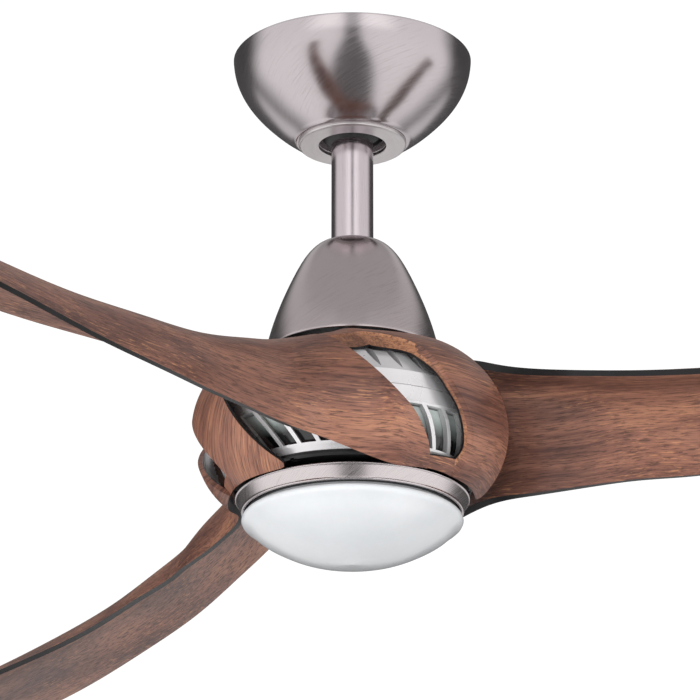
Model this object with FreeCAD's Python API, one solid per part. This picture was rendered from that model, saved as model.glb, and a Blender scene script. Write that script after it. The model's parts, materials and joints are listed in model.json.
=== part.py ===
"""Three-blade ceiling fan with a light, modelled as the separate pieces it is built from.

Millimetres, +Z up.  The origin is on the fan's axis in the plane of the ceiling, so everything
hangs at negative z.  Blade 1 points along +X, and the others follow every 120 degrees.
"""
import FreeCAD, Part
import math
import os

from FreeCAD import Vector

# ---------------------------------------------------------------- driving dimensions
# ceiling side
CANOPY_R = 76.4              # canopy rim, a 6 inch canopy
CANOPY_DEPTH = 56.4          # ceiling to the canopy's flat bottom
CANOPY_WALL = 1.2
RING_R = 34.4                # trim ring that hides the canopy screws
RING_HOLE_R = 21.5
RING_HEIGHT = 2.4
BOX_HOLE_SPACING = 88.9      # two slots that match a ceiling outlet box
PLATE_T = 2.5

# hanging parts
BALL_R = 26.0
BALL_Z = -36.0
ROD_R = 13.35                # 3/4 inch pipe
ROD_BORE_R = 10.5
ROD_TOP_Z = -14.0
ROD_BOTTOM_Z = -168.0
BALL_PIN_Z = -30.0
CLEVIS_Z = -158.0
SET_SCREW_Z = -164.0
COVER_TOP_Z = -128.0
COVER_RIM_Z = -202.4
SHAFT_R = 8.5
SHAFT_BORE_R = 5.5
SHAFT_TOP_Z = -184.0
SHAFT_BOTTOM_Z = -303.0

# motor
MOTOR_R = 87.5
MOTOR_TOP_Z = -213.6
SEAT_Z = -211.6              # tops of the small bosses that the sheets are screwed to
BAND_TOP_Z = -241.0
BAND_BOTTOM_Z = -260.0
MOTOR_BOTTOM_Z = -289.0
STATOR_R = 58.0
MAGNET_R = 59.0              # air gap of 1 mm
SKIRT_R = 66.5
SKIRT_WALL = 6.5
POLES = 12
MAGNETS = 16
WINDOWS = 39
PETAL_SLANT = 4.8            # degrees each way, from a petal's middle to its ends
UPPER_BEARING_Z = -220.0
LOWER_BEARING_Z = -280.0
BEARING_HALF = 5.0
BALL_TRACK_R = 14.0
BEARING_BALL_R = 2.6
RUN_FIT = 0.05

# blades
BLADES = 3
BLADE_T = 5.5
TIP_ROUNDING = 26.0
BLADE_RING_R = 74.0
BLADE_SCREW_R = 49.0
BLADE_RING_SCREW_R = 48.0

# light
LIGHT_TOP_Z = -296.6
LIGHT_RING_R = 73.0
LIGHT_LIP_R = 68.7
LIGHT_LIP_Z = -306.7
GLASS_NECK_R = 64.5
GLASS_WALL = 2.5
LUGS = 3
LED_COUNT = 24

AXIS = Vector(0, 0, 1)
ORIGIN = Vector(0, 0, 0)


# ---------------------------------------------------------------- helpers
def polar(radius, degrees, z):
    """Point at a radius and angle round the fan's axis."""
    angle = math.radians(degrees)
    return Vector(radius * math.cos(angle), radius * math.sin(angle), z)


def spun(shape, degrees):
    """Copy of a shape turned about the fan's axis."""
    return shape.copy().rotate(ORIGIN, AXIS, degrees)


def ring_of(shape, count, start=0.0):
    """Equal copies of a shape round the fan's axis."""
    return [spun(shape, start + 360.0 * i / count) for i in range(count)]


def revolved(profile):
    """Solid of revolution about Z from a closed list of (radius, z) corners."""
    points = [Vector(r, 0, z) for r, z in profile]
    face = Part.Face(Part.makePolygon(points + points[:1]))
    return face.revolve(ORIGIN, AXIS, 360)


def shell_of_revolution(profile, wall, samples=28):
    """Thin wall of revolution: a smooth outer curve through (radius, z) points, wall inwards."""
    curve = Part.BSplineCurve()
    curve.interpolate([Vector(r, 0, z) for r, z in profile])
    first, last = curve.FirstParameter, curve.LastParameter
    inner = []
    for i in range(samples + 1):
        t = first + (last - first) * i / samples
        along = curve.tangent(t)[0]
        inner.append(curve.value(t) + Vector(along.z, 0, -along.x).normalize() * wall)
    for point in inner:
        point.x = max(point.x, 0.0)
    inner_curve = Part.BSplineCurve()
    inner_curve.interpolate(inner)
    start = Part.makeLine(inner[0], Vector(profile[0][0], 0, profile[0][1]))
    ends = [start, curve.toShape()]
    outer_end = Vector(profile[-1][0], 0, profile[-1][1])
    ends += [Part.makeLine(outer_end, inner[-1]), inner_curve.toShape()]
    face = Part.Face(Part.Wire(Part.__sortEdges__(ends)))
    return face.revolve(ORIGIN, AXIS, 360)


def disc(radius, z_low, z_high, hole=0.0):
    """Flat round plate, with a hole when one is asked for."""
    plate = Part.makeCylinder(radius, z_high - z_low, Vector(0, 0, z_low))
    if hole:
        plate = plate.cut(Part.makeCylinder(hole, z_high - z_low, Vector(0, 0, z_low)))
    return plate


def box(x0, x1, y0, y1, z0, z1):
    """Box between two corners."""
    return Part.makeBox(x1 - x0, y1 - y0, z1 - z0, Vector(x0, y0, z0))


def pan_screw(shank_r, length, head_r, head_h, base, direction):
    """Screw whose head's underside is at base; the shank runs along direction."""
    shank = Part.makeCylinder(shank_r, length, base, direction)
    head = Part.makeCylinder(head_r, head_h, base, direction * -1)
    rim = head.Edges
    top = [edge for edge in rim if (edge.CenterOfMass - base).Length > head_h * 0.9]
    head = head.makeFillet(head_h * 0.45, top[:1])
    drive = Part.makeCylinder(head_r * 0.42, head_h * 0.5, base - direction * head_h, direction)
    return shank.fuse(head).cut(drive).removeSplitter()


# ---------------------------------------------------------------- ceiling side
def mounting_bracket():
    """Steel hanger: a slotted plate, two arms and the cup that the hanger ball sits in."""
    plate = box(-56, 56, -22, 22, -PLATE_T, 0)
    plate = plate.makeFillet(6, [e for e in plate.Edges if abs(e.tangentAt(0).z) > 0.9])
    shelf = box(-24, 24, 20, 50, -PLATE_T, 0)
    plate = plate.fuse(shelf).cut(Part.makeCylinder(16, 2 * PLATE_T, Vector(0, 0, -4)))
    for side in (-1, 1):
        centre = side * BOX_HOLE_SPACING / 2
        slot = box(centre - 2.6, centre + 2.6, -2.4, 2.4, -4, 1)
        for end in (-2.6, 2.6):
            slot = slot.fuse(Part.makeCylinder(2.4, 5, Vector(centre + end, 0, -4)))
        plate = plate.cut(slot)
        arm_x = min(side * 29.5, side * 32.0)
        plate = plate.fuse(box(arm_x, arm_x + 2.5, -11, 11, -47, 0))
    cup = revolved([(14, -39), (32, -39), (32, -46), (27, -53), (14, -53)])
    for side in (-1, 1):
        lug_y = min(side * 24, side * 33)
        cup = cup.fuse(box(-5.5, 5.5, lug_y, lug_y + 9, -CANOPY_DEPTH + CANOPY_WALL, -46))
    cup = cup.cut(Part.makeSphere(BALL_R + RUN_FIT, Vector(0, 0, BALL_Z)))
    cup = cup.cut(Part.makeCylinder(19.7, 10, Vector(0, 0, -58)))
    for side in (-1, 1):
        cup = cup.cut(Part.makeCylinder(2, 14, Vector(0, side * 28.5, -58)))
    key = box(20, 30, -2.9, 2.9, -47, -41)
    key = key.cut(Part.makeSphere(23.0, Vector(0, 0, BALL_Z)))
    return plate.fuse([cup, key]).removeSplitter()


def canopy():
    """Spun bowl against the ceiling, with a flat bottom and a round hole for the rod."""
    profile = [(CANOPY_R, 0), (75.4, -8), (71.2, -20), (64, -31), (55, -40.8), (45, -49.6),
               (37.5, -55)]
    bowl = shell_of_revolution(profile, CANOPY_WALL)
    low, high = -CANOPY_DEPTH, -CANOPY_DEPTH + CANOPY_WALL
    bottom = revolved([(RING_HOLE_R, low), (35.2, low), (37.5, -55), (36.4, -54.2), (35, high),
                       (RING_HOLE_R, high)])
    shape = bowl.fuse(bottom)
    for side in (-1, 1):
        shape = shape.cut(Part.makeCylinder(2.2, 8, Vector(0, side * 28.5, -60)))
    return shape.removeSplitter()


def canopy_ring():
    """Channel-shaped trim ring that twists on and hides the two canopy screws."""
    low, high = -CANOPY_DEPTH - RING_HEIGHT, -CANOPY_DEPTH
    return revolved([(RING_HOLE_R, high), (RING_HOLE_R, low + 0.6), (RING_HOLE_R + 0.6, low),
                     (RING_R - 0.9, low), (RING_R, low + 0.9), (RING_R, high),
                     (RING_R - 1, high), (RING_R - 1, low + 0.8), (RING_HOLE_R + 1, low + 0.8),
                     (RING_HOLE_R + 1, high)])


def canopy_screws():
    """Two screws up through the canopy's bottom into the bracket's lugs."""
    screws = [pan_screw(2.0, 9.5, 3.4, 1.4, Vector(0, side * 28.5, -CANOPY_DEPTH), AXIS)
              for side in (-1, 1)]
    return Part.makeCompound(screws)


def receiver_box():
    """Remote-control receiver under the bracket's shelf."""
    body = box(-38, 38, 24, 50, -18.5, -PLATE_T)
    body = body.makeFillet(3, [e for e in body.Edges if abs(e.tangentAt(0).z) > 0.9])
    return body.fuse(box(-32, 32, 29, 45, -19.7, -18.5)).removeSplitter()


# ---------------------------------------------------------------- hanging parts
def hanger_ball():
    """Moulded ball with a bore for the rod, a cross slot for its pin and a guide groove."""
    centre = Vector(0, 0, BALL_Z)
    ball = Part.makeSphere(BALL_R, centre)
    ball = ball.common(box(-30, 30, -30, 30, BALL_Z - 23, BALL_Z + 18))
    ball = ball.cut(Part.makeCylinder(ROD_R, 60, Vector(0, 0, -66)))
    ball = ball.cut(box(-3.05, 3.05, -20, 20, BALL_PIN_Z, 0))
    ball = ball.cut(Part.makeCylinder(3.05, 40, Vector(0, -20, BALL_PIN_Z), Vector(0, 1, 0)))
    groove = box(0, 30, -3.2, 3.2, -70, 0).cut(Part.makeSphere(22.6, centre))
    hole = Part.makeCylinder(2.5, 20, Vector(-ROD_R + 1, 0, BALL_Z - 4), Vector(-1, 0, 0))
    return ball.cut(groove).cut(hole)


def ball_pin():
    """Cross pin that carries the rod on the ball."""
    return Part.makeCylinder(3.0, 39.6, Vector(0, -19.8, BALL_PIN_Z), Vector(0, 1, 0))


def ball_set_screw():
    """Socket set screw that locks the ball to the rod."""
    screw = Part.makeCylinder(2.5, 9.5, Vector(-ROD_R, 0, BALL_Z - 4), Vector(-1, 0, 0))
    socket = Part.makeCylinder(1.3, 3, Vector(-ROD_R - 6.6, 0, BALL_Z - 4), Vector(-1, 0, 0))
    return screw.cut(socket)


def downrod():
    """Pipe from the hanger ball to the coupling, cross-drilled for its two pins."""
    length = ROD_TOP_Z - ROD_BOTTOM_Z
    tube = Part.makeCylinder(ROD_R, length, Vector(0, 0, ROD_BOTTOM_Z))
    tube = tube.cut(Part.makeCylinder(ROD_BORE_R, length, Vector(0, 0, ROD_BOTTOM_Z)))
    tube = tube.cut(Part.makeCylinder(3.0, 40, Vector(0, -20, BALL_PIN_Z), Vector(0, 1, 0)))
    return tube.cut(Part.makeCylinder(3.0, 40, Vector(-20, 0, CLEVIS_Z), Vector(1, 0, 0)))


def coupling():
    """Cast collar that joins the rod to the motor shaft."""
    body = revolved([(ROD_R, -148), (18, -148), (19.5, -149.5), (19.5, -180), (24, -186),
                     (24, -190), (SHAFT_R, -190), (SHAFT_R, -176), (10, -170), (ROD_R, -170)])
    body = body.cut(Part.makeCylinder(3.0, 60, Vector(-30, 0, CLEVIS_Z), Vector(1, 0, 0)))
    for side in (-1, 1):
        hole = Part.makeCylinder(3, 20, Vector(0, side * 12, SET_SCREW_Z), Vector(0, side, 0))
        body = body.cut(hole)
    return body


def clevis_pin():
    """Headed pin through the coupling and the rod."""
    pin = Part.makeCylinder(3.0, 47.5, Vector(-20.5, 0, CLEVIS_Z), Vector(1, 0, 0))
    head = Part.makeCylinder(5.0, 2.2, Vector(-22.0, 0, CLEVIS_Z), Vector(1, 0, 0))
    return pin.fuse(head).cut(Part.makeCylinder(1.0, 12, Vector(23.5, 0, CLEVIS_Z - 6)))


def cotter_clip():
    """Spring clip through the end of the clevis pin."""
    wire_r = 0.95
    x = 23.5
    low, high = CLEVIS_Z - 8, CLEVIS_Z + 8
    leg = Part.makeLine(Vector(x, 0, low), Vector(x, 0, high))
    bend = Part.Arc(Vector(x, 0, high), Vector(x, 2.4, high + 2.4), Vector(x, 4.8, high)).toShape()
    back = Part.makeLine(Vector(x, 4.8, high), Vector(x, 4.8, low + 3))
    path = Part.Wire([leg, bend, back])
    section = Part.Wire(Part.makeCircle(wire_r, Vector(x, 0, low)))
    return path.makePipeShell([section], True, False)


def coupling_set_screws():
    """Two hex-headed screws that clamp the rod in the coupling."""
    screws = []
    for side in (-1, 1):
        out = Vector(0, side, 0)
        shank = Part.makeCylinder(3.0, 8.6, Vector(0, side * ROD_R, SET_SCREW_Z), out)
        corners = [Vector(4.6 * math.cos(math.radians(60 * i)), side * (ROD_R + 8.6),
                          SET_SCREW_Z + 4.6 * math.sin(math.radians(60 * i))) for i in range(7)]
        head = Part.Face(Part.makePolygon(corners)).extrude(out * 3.2)
        screws.append(shank.fuse(head))
    return Part.makeCompound(screws)


def coupling_cover():
    """Bell-shaped spun cover over the coupling, open at the bottom."""
    profile = [(14.0, COVER_TOP_Z), (19.5, COVER_TOP_Z - 1.2), (25, COVER_TOP_Z - 5.2),
               (32, COVER_TOP_Z - 15), (38, COVER_TOP_Z - 27), (44, COVER_TOP_Z - 41),
               (48.6, COVER_TOP_Z - 54), (52.0, COVER_TOP_Z - 66), (53.9, COVER_RIM_Z)]
    return shell_of_revolution([(r, z) for r, z in reversed(profile)], -CANOPY_WALL)


def cover_plate():
    """Dished plate on the coupling that the cover snaps over."""
    return revolved([(SHAFT_R, -190), (49.2, -190), (49.9, -193), (48.3, -193), (47.8, -191.8),
                     (SHAFT_R, -191.8)])


def motor_shaft():
    """Fixed hollow shaft that carries the stator, both bearings and the light."""
    length = SHAFT_TOP_Z - SHAFT_BOTTOM_Z
    tube = Part.makeCylinder(SHAFT_R, length, Vector(0, 0, SHAFT_BOTTOM_Z))
    return tube.cut(Part.makeCylinder(SHAFT_BORE_R, length, Vector(0, 0, SHAFT_BOTTOM_Z)))


def stator_hub():
    """Spider that keys the stator core to the shaft."""
    hub = disc(24, -262, -236, SHAFT_R)
    for hole in ring_of(Part.makeCylinder(3.2, 40, Vector(16.5, 0, -270)), 6, 30):
        hub = hub.cut(hole)
    return hub


def stator_core():
    """Laminated core: a ring, twelve teeth and their pole shoes."""
    core = disc(34, -260, -238, 24)
    shoes = disc(STATOR_R, -260, -238, 54)
    gap = box(50, 62, -1.2, 1.2, -265, -230)
    for cut in ring_of(gap, POLES, 180.0 / POLES):
        shoes = shoes.cut(cut)
    tooth = box(33, 55, -4.2, 4.2, -260, -238)
    return core.fuse(ring_of(tooth, POLES) + [shoes]).removeSplitter()


def stator_windings():
    """One coil round each tooth."""
    coil = box(36, 52.5, -7.6, 7.6, -263.4, -234.6)
    coil = coil.makeFillet(3.0, [e for e in coil.Edges if abs(e.tangentAt(0).x) > 0.9])
    coil = coil.cut(box(30, 60, -4.2, 4.2, -260, -238))
    return Part.makeCompound(ring_of(coil, POLES))


def bearing_track(z):
    """Ball track of a bearing, slightly larger than the balls."""
    return Part.makeTorus(BALL_TRACK_R, BEARING_BALL_R + RUN_FIT, Vector(0, 0, z))


def bearing_inner(z):
    """Inner race, fixed on the shaft."""
    return disc(12.3, z - BEARING_HALF, z + BEARING_HALF, SHAFT_R).cut(bearing_track(z))


def bearing_outer(z):
    """Outer race, which turns with the motor housing."""
    return disc(20, z - BEARING_HALF, z + BEARING_HALF, 15.7).cut(bearing_track(z))


def bearing_balls(z):
    """Ring of bearing balls."""
    return Part.makeCompound(ring_of(Part.makeSphere(BEARING_BALL_R, Vector(BALL_TRACK_R, 0, z)), 10))


# ---------------------------------------------------------------- motor housing
def petal_vent():
    """Slanted petal-shaped pocket in the sloping top of the motor."""
    low = polar(86, PETAL_SLANT, BAND_TOP_Z + 1.5)
    high = polar(70, -PETAL_SLANT, -220.5)
    along = (high - low).normalize()
    outward = Vector(0.75, 0, 0.66).normalize()
    side = along.cross(outward).normalize() * 2.1
    length = (high - low).Length
    mid = low + along * (length * 0.5)
    right = Part.Arc(low, mid + side, high).toShape()
    left = Part.Arc(high, mid - side, low).toShape()
    face = Part.Face(Part.Wire([right, left]))
    return face.translated(outward * -1.4).extrude(outward * 12)


def motor_top_housing():
    """Die-cast top: bearing boss, blade seat, vented slope and the skirt behind the magnets."""
    top = MOTOR_TOP_Z
    skirt_out = SKIRT_R + SKIRT_WALL
    body = revolved([(20, top + 5), (25, top + 5), (28, top), (49.5, top), (53, -216.6),
                     (62, -217.4), (70, -220.5), (80, -227.5), (MOTOR_R - 0.8, BAND_TOP_Z),
                     (MOTOR_R - 5, BAND_TOP_Z), (76, -233), (skirt_out, -229), (skirt_out, -263),
                     (SKIRT_R, -263), (SKIRT_R, -223.4), (60, -220.8), (51, -220), (47, top - 3.5),
                     (26, top - 3.5), (26, -226), (20, -226)])
    body = body.cut(Part.makeCompound(ring_of(petal_vent(), WINDOWS)))
    skirt_hole = Part.makeCylinder(1.8, 11, Vector(SKIRT_R + SKIRT_WALL / 2, 0, -271))
    body = body.cut(Part.makeCompound(ring_of(skirt_hole, 6)))
    for place in blade_screw_places():
        boss = Part.makeCylinder(4.5, SEAT_Z - top + 4, Vector(place.x, place.y, top - 4))
        body = body.fuse(ring_of(boss, BLADES))
        seat_hole = Part.makeCylinder(2.2, 12, Vector(place.x, place.y, top - 8))
        body = body.cut(Part.makeCompound(ring_of(seat_hole, BLADES)))
    return body


def motor_band():
    """Smooth band round the middle of the motor, with one step line."""
    step_z = (BAND_TOP_Z + BAND_BOTTOM_Z) / 2
    return revolved([(MOTOR_R - 2.6, BAND_TOP_Z), (MOTOR_R - 0.6, BAND_TOP_Z), (MOTOR_R, step_z + 0.8),
                     (MOTOR_R, step_z + 0.4), (MOTOR_R - 0.7, step_z), (MOTOR_R + 0.3, step_z - 0.4),
                     (MOTOR_R + 0.3, BAND_BOTTOM_Z), (SKIRT_R + SKIRT_WALL, BAND_BOTTOM_Z),
                     (SKIRT_R + SKIRT_WALL, BAND_BOTTOM_Z + 2.5), (MOTOR_R - 2.6, BAND_BOTTOM_Z + 2.5)])


def rotor_magnets():
    """Permanent magnets glued inside the skirt."""
    ring = disc(SKIRT_R, -261, -237, MAGNET_R)
    gap = box(50, 70, -1.0, 1.0, -270, -230)
    wedge_angle = 360.0 / MAGNETS
    cuts = Part.makeCompound(ring_of(gap, MAGNETS, wedge_angle / 2))
    return ring.cut(cuts)


def window_cut():
    """Tall slanted window between two ribs of the bottom housing."""
    half = 3.6
    stations = ((-261.5, 0.0), (-273, 5.5), (-284.5, 10.0))
    wires = []
    for radius in (66.0, 96.0):
        left = [polar(radius, shift - half, z) for z, shift in stations]
        right = [polar(radius, shift + half, z) for z, shift in stations]
        loop = Part.Arc(*left).toShape(), Part.makeLine(left[2], right[2])
        loop += Part.Arc(right[2], right[1], right[0]).toShape(), Part.makeLine(right[0], left[0])
        wires.append(Part.Wire(list(loop)))
    return Part.makeLoft(wires, True, True)


def motor_bottom_housing():
    """Die-cast bottom: ribbed windows, floor and the lower bearing boss."""
    body = revolved([(MOTOR_R, BAND_BOTTOM_Z), (86, -267), (83.5, -273), (80.5, -279), (76.5, -286),
                     (74, MOTOR_BOTTOM_Z), (20, MOTOR_BOTTOM_Z), (20, -272), (25, -272), (25, -286),
                     (71, -286), (74, -283.4), (77.6, -277.6), (80.6, -271.6), (82.6, -266),
                     (83.6, -262), (SKIRT_R + SKIRT_WALL + 0.5, -262), (SKIRT_R + SKIRT_WALL + 0.5, BAND_BOTTOM_Z)])
    body = body.cut(Part.makeCompound(ring_of(window_cut(), WINDOWS)))
    hole = Part.makeCylinder(1.9, 10, Vector(SKIRT_R + SKIRT_WALL / 2, 0, -293))
    plate_hole = Part.makeCylinder(1.8, 10, Vector(BLADE_RING_SCREW_R, 0, -293))
    return body.cut(Part.makeCompound(ring_of(hole, 6) + ring_of(plate_hole, 6, 30)))


def motor_liner():
    """Smooth insulating sleeve seen behind the windows."""
    return revolved([(83.4, -262.2), (82.3, -266), (80.3, -271.6), (77.3, -277.6), (73.8, -283.2),
                     (72.6, -282.3), (75.9, -277), (78.8, -271.2), (80.8, -265.8), (81.9, -262.2)])


def housing_screws():
    """Six long screws that hold the two housings together."""
    screw = pan_screw(1.8, 29, 3.2, 1.6, Vector(SKIRT_R + SKIRT_WALL / 2, 0, MOTOR_BOTTOM_Z), AXIS)
    return Part.makeCompound(ring_of(screw, 6))


# ---------------------------------------------------------------- blades
# One blade is one moulded sheet.  Its root wraps the motor as part of a shell of revolution, peels
# off along the lower edge first, and then twists and flattens towards the tip.  Each station is
# the lower edge and the upper edge as (radius, degrees, z), and half the angle of the arc between.
SHEET_BOTTOM = (76.9, -298.2)
SHEET_TOP = (42.1, -205.7)
END_ANGLE = 89.0             # where the sheet's free end crosses the middle of its height
END_SLANT = 32.0             # how far it leans, from the middle to either edge
WRAP_STEP = 30.0
STATIONS = [
    ((SHEET_BOTTOM[0], 121.0, SHEET_BOTTOM[1]), (SHEET_TOP[0], 121.0, SHEET_TOP[1]), 82.0),
    ((SHEET_BOTTOM[0], 91.0, SHEET_BOTTOM[1]), (SHEET_TOP[0], 91.0, SHEET_TOP[1]), 80.5),
    ((SHEET_BOTTOM[0], 61.0, SHEET_BOTTOM[1]), (SHEET_TOP[0], 61.0, SHEET_TOP[1]), 77.5),
    ((78.0, 51.0, -299.5), (42.0, 20.0, -206.0), 75.0),
    ((91.0, 22.3, -289.8), (57.0, 3.5, -210.5), 68.0),
    ((114.0, 11.8, -287.0), (70.0, -13.0, -210.8), 45.5),
    ((143.0, 6.3, -284.6), (95.0, -15.5, -217.2), 42.0),
    ((179.0, 2.4, -282.0), (140.0, -21.5, -230.0), 51.0),
    ((220.0, 0.5, -280.2), (195.0, -20.3, -236.2), 53.0),
    ((264.0, -2.0, -275.2), (250.0, -19.0, -238.8), 51.5),
    ((330.0, -3.5, -268.8), (325.0, -16.9, -242.0), 50.5),
    ((430.0, -4.4, -262.5), (430.0, -15.4, -240.8), 46.5),
    ((540.0, -3.4, -258.8), (540.0, -13.4, -239.9), 37.0),
    ((650.0, -1.9, -256.0), (650.0, -11.7, -238.2), 24.0),
    ((735.0, -0.6, -254.0), (735.0, -10.3, -236.6), 14.0),
]
ALONG = 46                   # points along the sheet
ACROSS = 12                  # steps from the lower edge to the upper edge


def station_curves():
    """Smooth curves through the stations, all on one length parameter."""
    low = [polar(*s[0]) for s in STATIONS]
    high = [polar(*s[1]) for s in STATIONS]
    bend = [Vector(s[2], 0, 0) for s in STATIONS]
    knots = [0.0]
    for i in range(1, len(STATIONS)):
        middle = ((low[i] + high[i]) - (low[i - 1] + high[i - 1])).Length / 2
        knots.append(knots[-1] + middle + (low[i] - low[i - 1]).Length / 2)
    curves = []
    for points in (low, high, bend):
        curve = Part.BSplineCurve()
        curve.interpolate(Points=points, Parameters=knots)
        curves.append(curve)
    return knots, curves


KNOTS, (LOW_EDGE, HIGH_EDGE, BEND) = station_curves()


def sheet_point(t, side):
    """Point of the sheet's outer face; side runs from -1 at the lower edge to 1 at the upper."""
    low, high = LOW_EDGE.value(t), HIGH_EDGE.value(t)
    chord = high - low
    half = chord.Length / 2
    bend = math.radians(BEND.value(t).x)
    along = LOW_EDGE.tangent(t)[0] + HIGH_EDGE.tangent(t)[0]
    out = chord.cross(along).normalize()
    slide = half * math.sin(bend * side) / math.sin(bend)
    rise = half * (math.cos(bend * side) - math.cos(bend)) / math.sin(bend)
    return (low + high) * 0.5 + chord.normalize() * slide + out * rise


def sheet_start(side):
    """Parameter of the sheet's slanted free end, which wraps round the motor."""
    degrees = END_ANGLE - END_SLANT * side
    return KNOTS[1] * (STATIONS[0][0][1] - degrees) / WRAP_STEP


def sheet_surface():
    """Smooth outer face of the sheet, through a grid of its points."""
    rows = []
    for i in range(ALONG + 1):
        share = (i / ALONG) ** 1.15
        row = []
        for j in range(ACROSS + 1):
            side = -1.0 + 2.0 * j / ACROSS
            start = sheet_start(side)
            end = KNOTS[-1] - TIP_ROUNDING * side ** 4
            row.append(sheet_point(start + (end - start) * share, side))
        rows.append(row)
    surface = Part.BSplineSurface()
    surface.interpolate(rows)
    return surface.toShape()


# The eye-shaped opening: (degrees round the axis, degrees up round the sheet's curl) of its outline.
CURL_R, CURL_Z = 47.8, -256.4
CURL_OUTER_R = 51.0
EYE_FACING = 54.0
EYE_TIP = (28.6, 32.0)
EYE_LEFT = [EYE_TIP, (38.7, 13.0), (49.3, -8.6), (58.5, -29.0), (64.0, -44.5)]
EYE_RIGHT = [(77.6, -43.0), (77.6, -30.0), (71.0, -7.2), (61.6, 16.0), (51.0, 31.0), (40.0, 35.0),
             EYE_TIP]


def eye_cutter():
    """Plug that widens outwards from inside the motor, with the outline of the eye."""
    apex = polar(20.0, EYE_FACING, CURL_Z)
    facing = polar(1.0, EYE_FACING, 0.0)
    wires = []
    for reach in (28.0, 112.0):
        def place(point):
            curl = math.radians(point[1])
            radius = CURL_R + CURL_OUTER_R * math.cos(curl)
            line = polar(radius, point[0], CURL_Z + CURL_OUTER_R * math.sin(curl)) - apex
            return apex + line * (reach / line.dot(facing))
        left, right = Part.BSplineCurve(), Part.BSplineCurve()
        left.interpolate([place(p) for p in EYE_LEFT])
        right.interpolate([place(p) for p in EYE_RIGHT])
        floor = Part.makeLine(place(EYE_LEFT[-1]), place(EYE_RIGHT[0]))
        wires.append(Part.Wire([left.toShape(), floor, right.toShape()]))
    return Part.makeLoft(wires, True, True)


def blade_one():
    """Blade 1: the sheet at its full thickness, with the eye and its screw holes cut out."""
    sheet = sheet_surface().makeOffsetShape(BLADE_T, 1e-3, fill=True)
    sheet = sheet.cut(eye_cutter())
    for hole in blade_screw_places():
        sheet = sheet.cut(Part.makeCylinder(2.3, 20, Vector(hole.x, hole.y, -220)))
    return sheet


def blade_screw_places():
    """Three screws through each sheet's top flange."""
    return [polar(BLADE_SCREW_R, degrees, -204.9) for degrees in (27, 40, 53)]


def blade_screws():
    """Screws that hold the three sheets down on the motor's top."""
    screws = [pan_screw(2.2, 12, 3.8, 2.0, place, Vector(0, 0, -1)) for place in blade_screw_places()]
    return Part.makeCompound([spun(s, 120 * i) for i in range(BLADES) for s in screws])


def blade_ring():
    """Black plate under the motor that the sheets' lower edges are fixed to."""
    ring = revolved([(26, -291.6), (26, MOTOR_BOTTOM_Z), (BLADE_RING_R - 1, MOTOR_BOTTOM_Z),
                     (BLADE_RING_R, -290), (BLADE_RING_R, -291), (BLADE_RING_R - 1.6, -292.4),
                     (70, -291.6)])
    head_hole = Part.makeCylinder(3.6, 10, Vector(SKIRT_R + SKIRT_WALL / 2, 0, -296))
    screw_hole = Part.makeCylinder(1.8, 10, Vector(BLADE_RING_SCREW_R, 0, -296))
    return ring.cut(Part.makeCompound(ring_of(head_hole, 6) + ring_of(screw_hole, 6, 30)))


def blade_ring_screws():
    """Screws that hold the black plate to the motor."""
    screw = pan_screw(1.8, 5.4, 3.2, 1.4, Vector(BLADE_RING_SCREW_R, 0, -291.6), AXIS)
    return Part.makeCompound(ring_of(screw, 6, 30))


# ---------------------------------------------------------------- light
def light_plate():
    """Fixed plate on the shaft's lower end that the light hangs from."""
    plate = revolved([(SHAFT_R, -294.2), (16, -294.2), (30, -295), (66, -295), (66, LIGHT_TOP_Z),
                      (SHAFT_R, LIGHT_TOP_Z)])
    hole = Part.makeCylinder(1.8, 4, Vector(60, 0, -298))
    return plate.cut(Part.makeCompound(ring_of(hole, 3, 90)))


def shaft_nut():
    """Hexagon nut that clamps the light plate on the shaft."""
    nut = Part.makeCylinder(13, 4.4, Vector(0, 0, LIGHT_TOP_Z - 4.4))
    flats = [Vector(13 * math.cos(math.radians(60 * i)), 13 * math.sin(math.radians(60 * i)),
                    LIGHT_TOP_Z - 4.4) for i in range(7)]
    prism = Part.Face(Part.makePolygon(flats)).extrude(Vector(0, 0, 4.4))
    return nut.common(prism).cut(Part.makeCylinder(SHAFT_R, 10, Vector(0, 0, -306)))


def light_ring():
    """Tapered metal ring with three inward tabs that carry the glass."""
    ring = revolved([(52, LIGHT_TOP_Z), (LIGHT_RING_R - 0.8, LIGHT_TOP_Z),
                     (LIGHT_RING_R, LIGHT_TOP_Z - 0.9), (LIGHT_LIP_R + 0.5, LIGHT_LIP_Z + 0.9),
                     (LIGHT_LIP_R, LIGHT_LIP_Z), (LIGHT_LIP_R - 1.6, LIGHT_LIP_Z),
                     (LIGHT_RING_R - 2.2, LIGHT_TOP_Z - 1.4), (52, LIGHT_TOP_Z - 1.4)])
    tab = sector(64.9, 69.2, LIGHT_LIP_Z + 1.2, LIGHT_LIP_Z + 2.4, 9)
    ring = ring.fuse(ring_of(tab, LUGS, 30)).removeSplitter()
    hole = Part.makeCylinder(1.8, 4, Vector(60, 0, -299))
    return ring.cut(Part.makeCompound(ring_of(hole, 3, 90)))


def sector(r_in, r_out, z_low, z_high, half_angle):
    """Block between two radii and two angles."""
    face = Part.Face(Part.makePolygon([Vector(r_in, 0, z_low), Vector(r_out, 0, z_low),
                                       Vector(r_out, 0, z_high), Vector(r_in, 0, z_high),
                                       Vector(r_in, 0, z_low)]))
    return spun(face.revolve(ORIGIN, AXIS, 2 * half_angle), -half_angle)


def light_ring_screws():
    """Three screws that hold the light ring to the plate."""
    screw = pan_screw(1.8, 2.9, 3.0, 1.2, Vector(60, 0, LIGHT_TOP_Z - 1.4), AXIS)
    return Part.makeCompound(ring_of(screw, 3, 90))


def led_plate():
    """Aluminium heat spreader under the light plate."""
    return disc(50, LIGHT_TOP_Z - 2.4, LIGHT_TOP_Z, 15)


def led_board():
    """Round circuit board."""
    return disc(48, LIGHT_TOP_Z - 4.0, LIGHT_TOP_Z - 2.4, 15)


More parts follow.
